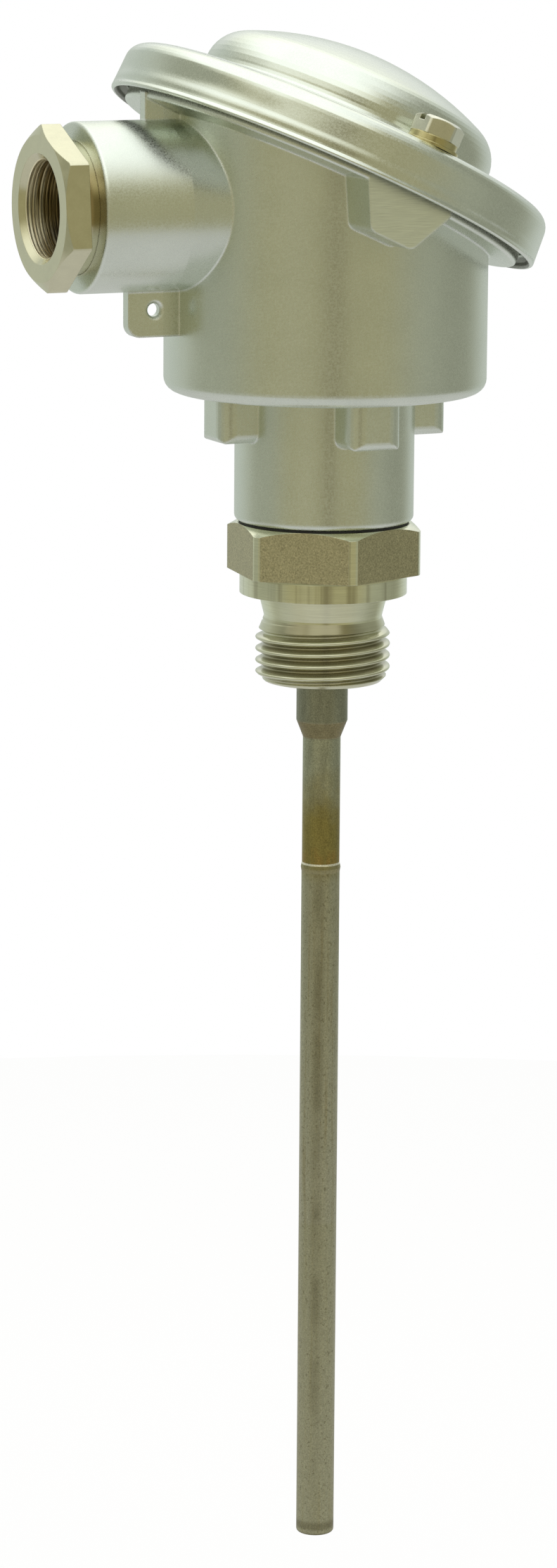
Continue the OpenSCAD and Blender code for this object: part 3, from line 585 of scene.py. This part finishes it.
def tube_finish(colors):
    """Drawn tube with dark streaks and specks, a change of tone, a smoked end, a painted dark
    reflection down its front and painted shade on its underside.
    """
    finish = Finish("tube_steel", roughness=0.38, Anisotropic=0.25)
    height = finish.axes()[2]
    above_tip = finish.calc("SUBTRACT", height, PLUG_LOW.z)
    below_weld = finish.calc("SUBTRACT", TUBE_HIGH.z, height)
    grain = finish.noise(0.22 * MM, roughness=0.65)
    streak = finish.noise(0.7 * MM, scale=(1.0, 1.0, 0.035))
    blot = finish.noise(1.1 * MM, 4.0, scale=(1.0, 1.0, 0.3))
    speck = finish.noise(0.45 * MM, 2.0)
    change = 0.468 * (TUBE_HIGH.z - PLUG_LOW.z)
    # Painted dark reflection down the front, broken here and there and weak near the tip
    front_reflection = finish.product(
        finish.span(finish.away(finish.towards(ACROSS), -0.3 * MM), 1.3 * MM, 0.1 * MM),
        finish.span(finish.noise(9 * MM, 2.0), 0.35, 0.60, 0.15, 0.60),
        finish.span(finish.towards(FRONT), 0, 1 * MM),
        finish.span(above_tip, 12 * MM, 32 * MM, 0.25, 1.0),
    )
    # Smoked band above the tip's weld, and painted shade on the underside
    smoked = finish.band(above_tip, 0.7 * MM, 1.2 * MM, 1.8 * MM, 2.6 * MM)
    upright = finish.axes(finish.geometry("Normal"))[2]
    color = finish.over(
        colors.tube_steel,
        (colors.tube_stain, finish.span(streak, 0.52, 0.70, 0.0, 0.75)),
        (colors.tube_stain, finish.span(blot, 0.63, 0.72, 0.0, 0.6)),
        (colors.tube_lower, finish.span(above_tip, change + 0.8 * MM, change, 0.0, 0.5)),
        (colors.soot_and_shade, front_reflection),
        (colors.soot_and_shade, finish.span(speck, 0.61, 0.68, 0.0, 0.6)),
        (colors.soot_and_shade, finish.product(smoked, 0.7)),
        (colors.soot_and_shade, finish.span(upright, -0.10, -0.26, 0.0, 0.85)),
        (colors.heat_tint, finish.span(below_weld, 3.5 * MM, 0.3 * MM, 0.0, 0.5)),
        (colors.weld_bright, finish.span(below_weld, 0.20 * MM, 0.12 * MM)),
    )
    return finish.put(
        Base_Color=finish.shade(color, (grain, 0.70, 1.30), (streak, 0.90, 1.08)),
        Normal=finish.bump(grain, 0.35, 0.015 * MM, finish.rounded(0.08 * MM)),
        Roughness=finish.span(streak, 0.3, 0.7, 0.32, 0.44),
        Tangent=finish.turning(),
    )


def plain_finish(name, color, roughness, grain_size, depth):
    """Rubber, ceramic, resin or sleeve with a grain of its own."""
    finish = Finish(name, metallic=0.0, roughness=roughness)
    grain = finish.noise(grain_size, 4.0)
    return finish.put(
        Base_Color=finish.shade(color, (grain, 0.9, 1.08)),
        Roughness=finish.span(grain, 0.3, 0.7, roughness - 0.08, min(1.0, roughness + 0.08)),
        Normal=finish.bump(grain, 0.4, depth, finish.rounded(0.1 * MM)),
    )


# ------------------------ mesh helpers

# How near a vertex lies to the surface that it belongs to
SNAP = 0.01 * MM
# Radius to which the fitting's corners are turned, as a share of the width across its flats
TURNED_CORNERS = 0.565


def turned_mesh(outline, segments):
    """Closed ring of revolution round Z from an outline of (radius, height) points."""
    bm = bmesh.new()
    corners = [bm.verts.new((radius, 0, height)) for radius, height in outline]
    for first, second in zip(corners, corners[1:] + corners[:1]):
        bm.edges.new((first, second))
    bmesh.ops.spin(
        bm, geom=bm.verts[:] + bm.edges[:], cent=(0, 0, 0), axis=(0, 0, 1),
        angle=math.tau, steps=segments, use_merge=True,
    )
    bmesh.ops.remove_doubles(bm, verts=bm.verts[:], dist=0.0005 * MM)
    bmesh.ops.recalc_face_normals(bm, faces=bm.faces[:])
    return bm


def linked(name, data):
    """A new object in the scene."""
    thing = bpy.data.objects.new(name, data)
    bpy.context.scene.collection.objects.link(thing)
    return thing


def finished(bm, name, material):
    """Turns a bmesh into a piece with smooth faces and sharp creases."""
    mesh = bpy.data.meshes.new(name)
    for face in bm.faces:
        face.smooth = True
    for edge in bm.edges:
        edge.smooth = edge.is_manifold and edge.calc_face_angle(0.0) < math.radians(28)
    bm.to_mesh(mesh)
    bm.free()
    mesh.materials.append(material)
    return linked(name, mesh)


def coat(material, *nodes):
    """Gives carried CAD nodes their finish."""
    for name in nodes:
        slots = frame["nodes"][name].data.materials
        slots.clear()
        slots.append(material)


def reshape(bm, place):
    """Moves each vertex to the radius and height that place gives for its own and its angle."""
    for vert in bm.verts:
        radius = math.hypot(vert.co.x, vert.co.y)
        angle = math.atan2(vert.co.y, vert.co.x)
        wanted, vert.co.z = place(radius, vert.co.z, angle)
        vert.co.x *= wanted / radius
        vert.co.y *= wanted / radius


def hexagon_place(height, angle, blank, flats, turn, low, top):
    """Radius and height on a hexagon cut from a round blank, its corners taken down at the top."""
    sixth = math.tau / 6
    off = (angle - turn + sixth / 2) % sixth - sixth / 2
    radius = min(blank, flats / 2 / math.cos(off))
    if height > low + 1 * MM:
        height = top - (radius - flats / 2) * math.tan(math.radians(30))
    return radius, height


def thread_depth(offset, pitch):
    """Depth below the crest of a 55 degree thread with round crests and roots."""
    flank = math.radians(55 / 2)
    # Radius of the pipe thread's rounding as a share of its pitch
    round_r = 0.1373 * pitch
    arc_w = round_r * math.cos(flank)
    arc_d = round_r * (1 - math.sin(flank))
    away = abs(offset)
    if away < arc_w:
        return round_r - math.sqrt(round_r ** 2 - away ** 2)
    if away < pitch / 2 - arc_w:
        return arc_d + (away - arc_w) / math.tan(flank)
    inner = pitch / 2 - away
    full = 2 * arc_d + (pitch / 2 - 2 * arc_w) / math.tan(flank)
    return full - round_r + math.sqrt(round_r ** 2 - inner ** 2)


def levels(low, high, step):
    """Evenly spaced heights from low to high, both ends included."""
    count = max(1, round((high - low) / step))
    return [low + (high - low) * i / count for i in range(count + 1)]


def blank_radius(sizes, height):
    """Radius of the threaded end at a height before the thread is cut, with its run-out."""
    bends = (
        (sizes.thread_high, sizes.thread_radius),
        (sizes.thread_high + 0.8 * MM, sizes.thread_radius - 0.6 * MM),
        (sizes.groove_low, sizes.groove_radius),
    )
    radius = sizes.thread_radius - max(0.0, sizes.thread_low - height)
    for (start, wide), (end, narrow) in zip(bends, bends[1:]):
        radius -= (wide - narrow) * min(1.0, max(0.0, (height - start) / (end - start)))
    return radius


def fitting_outline(sizes):
    """Outline of the turned fitting, before its hexagon and its thread are cut."""
    low, high = FITTING_LOW.z, FITTING_HIGH.z
    groove_low, bore, neck = sizes.groove_low, sizes.fitting_bore, sizes.neck_radius
    collar, collar_top = sizes.collar_radius, sizes.collar_height
    blank = sizes.hexagon_flats * TURNED_CORNERS
    hexagon_top = collar_top + sizes.hexagon_height
    lead = sizes.thread_low - low
    outline = [(bore, low), (sizes.thread_radius - lead - 0.4 * MM, low)]
    thread = levels(low + 0.15 * MM, groove_low, sizes.thread_pitch / 24)
    outline += [(blank_radius(sizes, height), height) for height in thread]
    outline += [
        (sizes.groove_radius, groove_low + 0.3 * MM), (10.0 * MM, -0.3 * MM), (10.0 * MM, 0.0),
        (collar, 0.0),
    ]
    edge = 0.5 * MM
    outline += [
        (collar - edge + edge * math.cos(a), collar_top - edge + edge * math.sin(a))
        for a in (math.radians(degrees) for degrees in range(0, 91, 18))
    ]
    return outline + [
        (blank, collar_top), (blank, hexagon_top - 1.0 * MM),
        (sizes.hexagon_flats / 2, hexagon_top), (neck - 1.0 * MM, hexagon_top),
        (neck - 1.0 * MM, hexagon_top + 1.2 * MM), (neck, hexagon_top + 2.0 * MM),
        (neck, high - 1.0 * MM), (neck - 1.0 * MM, high), (bore, high),
    ]


# ------------------------ operators

class PROBE_OT_castings(bpy.types.Operator):
    """Lacquer the housing and the lid"""
    bl_idname = "probe.castings"
    bl_label = "Castings"

    def execute(self, context):
        groups = context.scene.probe_sizes, context.scene.probe_finish
        coat(cast_finish("housing_lacquer", *groups, 0.30, 0.50 * MM, housing_marks), "head_body")
        coat(cast_finish("lid_lacquer", *groups, 0.25, 0.20 * MM, lid_marks), "lid")
        return {"FINISHED"}


class PROBE_OT_lid_screws(bpy.types.Operator):
    """Plate the lid's screws and washers"""
    bl_idname = "probe.lid_screws"
    bl_label = "Lid screws"

    def execute(self, context):
        colors = context.scene.probe_finish
        screws = plated_finish("screw_zinc", colors.zinc_yellow, 0.13)
        coat(screws, "lid_screw_front", "lid_screw_back")
        washers = plated_finish("washer_zinc", colors.zinc_gold, 0.18)
        coat(washers, "lid_spring_washers", "lid_flat_washers")
        return {"FINISHED"}


class PROBE_OT_cable_gland(bpy.types.Operator):
    """Turn the gland's pressure screw with the rings in its bore"""
    bl_idname = "probe.cable_gland"
    bl_label = "Cable gland"

    def execute(self, context):
        sizes, colors = context.scene.probe_sizes, context.scene.probe_finish
        face, end = -GLAND_LOW.x, -GLAND_HIGH.x
        hexagon_back = face - sizes.gland_hexagon
        flats, shank = sizes.gland_flats, sizes.gland_shank
        bore, mouth = sizes.gland_bore, sizes.gland_mouth
        # A little more than the corners' radius, so that the hexagon is cut out whole
        blank = flats * 0.58
        ring_low, ring_high = end + 0.6 * MM, face - mouth - 0.2 * MM
        outline = [
            (bore, end + 0.5 * MM), (bore + 0.4 * MM, end), (shank - 0.7 * MM, end),
            (shank, end + 0.7 * MM), (shank, hexagon_back), (blank, hexagon_back),
            (blank, face - 1.0 * MM), (flats / 2, face), (bore + mouth, face), (bore, face - mouth),
        ]
        heights = levels(ring_low, ring_high, sizes.gland_pitch / 8)
        outline += [(bore, height) for height in reversed(heights)]

        def place(radius, height, angle):
            """Cuts the hexagon with its crown, and the rings in the bore."""
            if radius > blank - SNAP:
                turn = sizes.gland_turn
                return hexagon_place(height, angle, blank, flats, turn, hexagon_back, face)
            if abs(radius - bore) < SNAP and ring_low <= height <= ring_high:
                turns = height / sizes.gland_pitch - angle / math.tau
                wave = 0.5 - 0.5 * math.cos(math.tau * turns)
                radius += sizes.gland_ring * wave ** 2
            return radius, height

        bm = turned_mesh(outline, 144)
        reshape(bm, place)
        # The screw's own +Z points out of the entry, along -X of the probe
        turn = Matrix.Translation((0, 0, ENTRY_Z)) @ Matrix.Rotation(-math.pi / 2, 4, "Y")
        bmesh.ops.transform(bm, matrix=turn, verts=bm.verts[:])
        piece = finished(bm, "gland_pressure_screw", gland_finish(sizes, colors))
        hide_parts("gland_screw")
        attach(piece, "gland")
        coat(plated_finish("gland_zinc", colors.zinc, 0.35), "gland_washers")
        coat(plain_finish("gland_rubber", colors.rubber, 0.6, 0.3 * MM, 0.01 * MM), "gland_seal")
        return {"FINISHED"}


class PROBE_OT_process_fitting(bpy.types.Operator):
    """Turn the process fitting with its pipe thread, groove, collar and hexagon"""
    bl_idname = "probe.process_fitting"
    bl_label = "Process fitting"

    def execute(self, context):
        sizes, colors = context.scene.probe_sizes, context.scene.probe_finish
        low, flats, turn = FITTING_LOW.z, sizes.hexagon_flats, sizes.hexagon_turn
        blank, collar_top = flats * TURNED_CORNERS, sizes.collar_height
        hexagon_top = collar_top + sizes.hexagon_height

        def place(radius, height, angle):
            """Cuts the hexagon with its crown, and the thread."""
            if radius > blank - SNAP:
                return hexagon_place(height, angle, blank, flats, turn, collar_top, hexagon_top)
            if low < height < sizes.groove_low and radius > sizes.groove_radius - 2 * MM:
                turns = (height - sizes.thread_crest) / sizes.thread_pitch - angle / math.tau
                offset = (turns - round(turns)) * sizes.thread_pitch
                depth = thread_depth(offset, sizes.thread_pitch)
                radius = min(radius, sizes.thread_radius - depth)
            return radius, height

        bm = turned_mesh(fitting_outline(sizes), 216)
        reshape(bm, place)
        piece = finished(bm, "threaded_process_fitting", fitting_finish(sizes, colors))
        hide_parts("process_fitting")
        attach(piece, "probe")
        coat(plain_finish("neck_rubber", colors.rubber, 0.7, 0.3 * MM, 0.01 * MM), "neck_seal")
        return {"FINISHED"}


class PROBE_OT_stem_and_tube(bpy.types.Operator):
    """Finish the stem, the tube and the tip"""
    bl_idname = "probe.stem_and_tube"
    bl_label = "Stem and tube"

    def execute(self, context):
        colors = context.scene.probe_finish
        coat(stem_finish(colors), "stem")
        coat(tube_finish(colors), "protecting_tube", "tip_plug")
        return {"FINISHED"}


class PROBE_OT_inside(bpy.types.Operator):
    """Finish the terminal block, the seals and what the tube holds"""
    bl_idname = "probe.inside"
    bl_label = "Inside"

    def execute(self, context):
        colors = context.scene.probe_finish
        coat(
            plain_finish("block_ceramic", colors.ceramic, 0.45, 0.5 * MM, 0.02 * MM),
            "terminal_block", "lead_insulator", "sensing_element",
        )
        clamps = plated_finish("clamp_brass", colors.terminal_brass, 0.25)
        coat(clamps, "terminal_clamps", "terminal_screws")
        coat(plated_finish("earth_brass", colors.terminal_brass, 0.3), "earth_screw", "earth_washer")
        coat(plated_finish("block_zinc", colors.zinc, 0.33), "block_screws", "block_washers")
        sleeve = plain_finish("lead_sleeve", colors.lead_sleeve, 0.35, 0.4 * MM, 0.005 * MM)
        coat(sleeve, "lead_wires")
        coat(plain_finish("stem_resin", colors.resin, 0.3, 0.8 * MM, 0.02 * MM), "resin_plug")
        coat(plain_finish("lid_rubber", colors.rubber, 0.65, 0.3 * MM, 0.01 * MM), "lid_gasket")
        return {"FINISHED"}


class PROBE_OT_studio(bpy.types.Operator):
    """Set the camera, the floor and the light tent"""
    bl_idname = "probe.studio"
    bl_label = "Studio"

    def execute(self, context):
        studio = context.scene.probe_studio
        self.camera(context, studio)
        self.floor(studio)
        self.tent(context, studio)
        self.lamp(studio)
        context.scene.view_settings.view_transform = "Standard"
        return {"FINISHED"}

    def camera(self, context, studio):
        """Camera at its distance and height, turned, pitched and rolled."""
        data = bpy.data.cameras.new("camera")
        data.lens = studio.lens
        data.sensor_width = 36
        data.clip_start, data.clip_end = 0.05, 50
        level = Vector((math.cos(studio.yaw), -math.sin(studio.yaw), 0.0))
        forward = Matrix.Rotation(-studio.pitch, 3, level) @ Vector((-level.y, level.x, 0.0))
        roll = Matrix.Rotation(-studio.roll, 3, forward)
        right, up = roll @ level, roll @ level.cross(forward)
        place = Matrix.Translation((0, -studio.distance, studio.height))
        facing = Matrix((right, up, -forward)).transposed().to_4x4()
        camera = linked("camera", data)
        camera.matrix_world = Matrix.Rotation(studio.azimuth, 4, "Z") @ place @ facing
        context.scene.camera = camera

    def lamp(self, studio):
        """Wide, soft lamp over the head."""
        lamp = bpy.data.lights.new("top_box", "AREA")
        lamp.shape = "SQUARE"
        lamp.size = studio.lamp_size
        lamp.energy = studio.lamp_level * math.pi * studio.lamp_size ** 2
        light = linked("top_box", lamp)
        offset = Vector((-50 * MM, 50 * MM, studio.lamp_rise))
        light.location = Vector((0, 0, 50 * MM)) + offset
        light.rotation_euler = (-offset).to_track_quat("-Z", "Y").to_euler()
        light.visible_camera = False
        # Metal reflects the tent's bright top instead
        light.visible_glossy = False

    def floor(self, studio):
        """White floor that keeps its shadow."""
        bm = bmesh.new()
        bmesh.ops.create_circle(bm, cap_ends=True, segments=96, radius=studio.floor_radius)
        bmesh.ops.translate(bm, verts=bm.verts[:], vec=(0, 0, PLUG_LOW.z - studio.floor_drop))
        finish = Finish("floor_white", metallic=0.0, roughness=0.9, Base_Color=(0.82, 0.82, 0.81))
        rays = finish.add("ShaderNodeLightPath").outputs
        camera_ray = rays["Is Camera Ray"]
        seen = finish.calc(
            "MAXIMUM", camera_ray,
            finish.calc("MAXIMUM", rays["Is Glossy Ray"], rays["Is Transmission Ray"]),
        )
        strength = finish.span(
            camera_ray, 0.0, 1.0, studio.floor_mirrored, studio.floor_seen, smooth=False
        )
        glow = finish.join(
            "ShaderNodeEmission", {}, (1.0, 1.0, 1.0), finish.product(seen, strength)
        )
        dimmed = finish.join(
            "ShaderNodeMixShader", {}, finish.product(seen, studio.floor_dimmed),
            finish.shader.outputs[0], finish.join("ShaderNodeEmission", {}, (0.0, 0.0, 0.0)),
        )
        surface = finish.join("ShaderNodeAddShader", {}, dimmed, glow)
        finish.feed(finish.nodes["Material Output"].inputs["Surface"], surface)
        finished(bm, "floor", finish.material)

    def tent(self, context, studio):
        """Light tent: bright above, dim and warm at eye level, plain white to the camera."""
        world = bpy.data.worlds.new("tent")
        context.scene.world = world
        world.use_nodes = True
        tent = Finish("tent_helper")
        tent.nodes, tent.links = world.node_tree.nodes, world.node_tree.links
        tent.nodes.clear()
        ray = tent.add("ShaderNodeTexCoord").outputs["Generated"]
        x, y, z = tent.axes(ray)
        flat = tent.calc("MAXIMUM", 0.01, tent.hypot(x, y))
        turn = Matrix.Rotation(studio.azimuth, 3, "Z")
        ahead, aside = (
            tent.calc("DIVIDE", tent.vector("DOT_PRODUCT", ray, turn @ Vector(way)), flat)
            for way in ((0, -1, 0), (1, 0, 0))
        )

        # Things at eye level, near the camera, to its sides and behind the probe
        near_camera = tent.span(ahead, 0.5, 0.7)
        stand = tent.product(tent.span(tent.away(aside, 0.11), 0.17, 0.05), near_camera)
        card = tent.product(tent.span(tent.away(aside, -0.38), 0.22, 0.08), near_camera)
        on_right = tent.product(tent.span(aside, 0.70, 0.92), tent.span(ahead, 0.30, -0.20))
        on_left = tent.product(tent.span(aside, -0.50, -0.85), tent.span(ahead, -0.10, -0.55))
        behind = tent.span(tent.total(ahead, tent.product(aside, 0.10)), -0.42, -0.88)
        lit_back = tent.product(tent.span(z, 0.05, 0.35), tent.span(ahead, -0.80, -1.0))

        # The bright top starts lower in front than on either side, and has a light box beside it
        warm_top, cool_top = (
            tuple(studio.glow * c for c in top) for top in (studio.warm, studio.tent)
        )
        bright = tent.mix(tent.span(z, 0.40, 0.85), warm_top, cool_top)
        lift = tent.total(
            tent.span(aside, 0.45, 0.85, 0.0, 0.27), tent.span(aside, -0.30, -0.75, 0.0, 0.10)
        )
        towards_box = tent.total(
            tent.product(aside, math.sin(studio.box_azimuth)),
            tent.product(ahead, math.cos(studio.box_azimuth)),
        )
        in_box = tent.product(tent.span(towards_box, 0.90, 0.975), tent.span(z, 0.30, 0.46))

        level = tent.over(
            studio.side,
            (studio.front, tent.span(ahead, 0.25, 0.80)),
            (studio.stand, tent.product(stand, studio.stand_share)),
            (studio.tent, tent.product(card, 0.04)),
            ((0.0, 0.0, 0.0), tent.product(on_right, 0.16)),
            (studio.left, on_left),
            (studio.back, behind),
            (studio.tent, lit_back),
            (bright, tent.span(tent.calc("SUBTRACT", z, lift), 0.30, 0.72)),
            (bright, tent.product(in_box, studio.box_share)),
            (studio.below, tent.span(z, -0.35, -0.70)),
        )

        # What each kind of ray meets
        rays = tent.add("ShaderNodeLightPath").outputs
        mirrored = tent.calc("MAXIMUM", rays["Is Glossy Ray"], rays["Is Transmission Ray"])
        color = tent.over(
            studio.room, (level, mirrored), ((1.0, 1.0, 1.0), rays["Is Camera Ray"])
        )
        tent.add("ShaderNodeOutputWorld", Surface=tent.join("ShaderNodeBackground", {}, color, 1.0))
        bpy.data.materials.remove(tent.material)


class PROBE_PT_panel(bpy.types.Panel):
    """Probe pieces, finishes and studio"""
    bl_idname = "PROBE_PT_panel"
    bl_label = "Thermometer probe"
    bl_space_type = "VIEW_3D"
    bl_region_type = "UI"
    bl_category = "Probe"

    def draw(self, context):
        for operator in OPERATORS:
            self.layout.operator(operator.bl_idname)
        for group in (getattr(context.scene, name) for name in GROUPS):
            box = self.layout.box()
            for name in group.__annotations__:
                box.prop(group, name)


OPERATORS = (
    PROBE_OT_castings, PROBE_OT_lid_screws, PROBE_OT_cable_gland, PROBE_OT_process_fitting,
    PROBE_OT_stem_and_tube, PROBE_OT_inside, PROBE_OT_studio,
)
GROUPS = {"probe_sizes": ProbeSizes, "probe_finish": ProbeFinish, "probe_studio": ProbeStudio}


def register():
    for name, group in GROUPS.items():
        bpy.utils.register_class(group)
        setattr(bpy.types.Scene, name, bpy.props.PointerProperty(type=group))
    for cls in (*OPERATORS, PROBE_PT_panel):
        bpy.utils.register_class(cls)


def unregister():
    for cls in (PROBE_PT_panel, *reversed(OPERATORS)):
        bpy.utils.unregister_class(cls)
    for name, group in reversed(GROUPS.items()):
        delattr(bpy.types.Scene, name)
        bpy.utils.unregister_class(group)


def main():
    """Makes every piece and the studio."""
    register()
    bpy.ops.probe.castings()
    bpy.ops.probe.lid_screws()
    bpy.ops.probe.cable_gland()
    bpy.ops.probe.process_fitting()
    bpy.ops.probe.stem_and_tube()
    bpy.ops.probe.inside()
    bpy.ops.probe.studio()


if __name__ == "__main__":
    main()
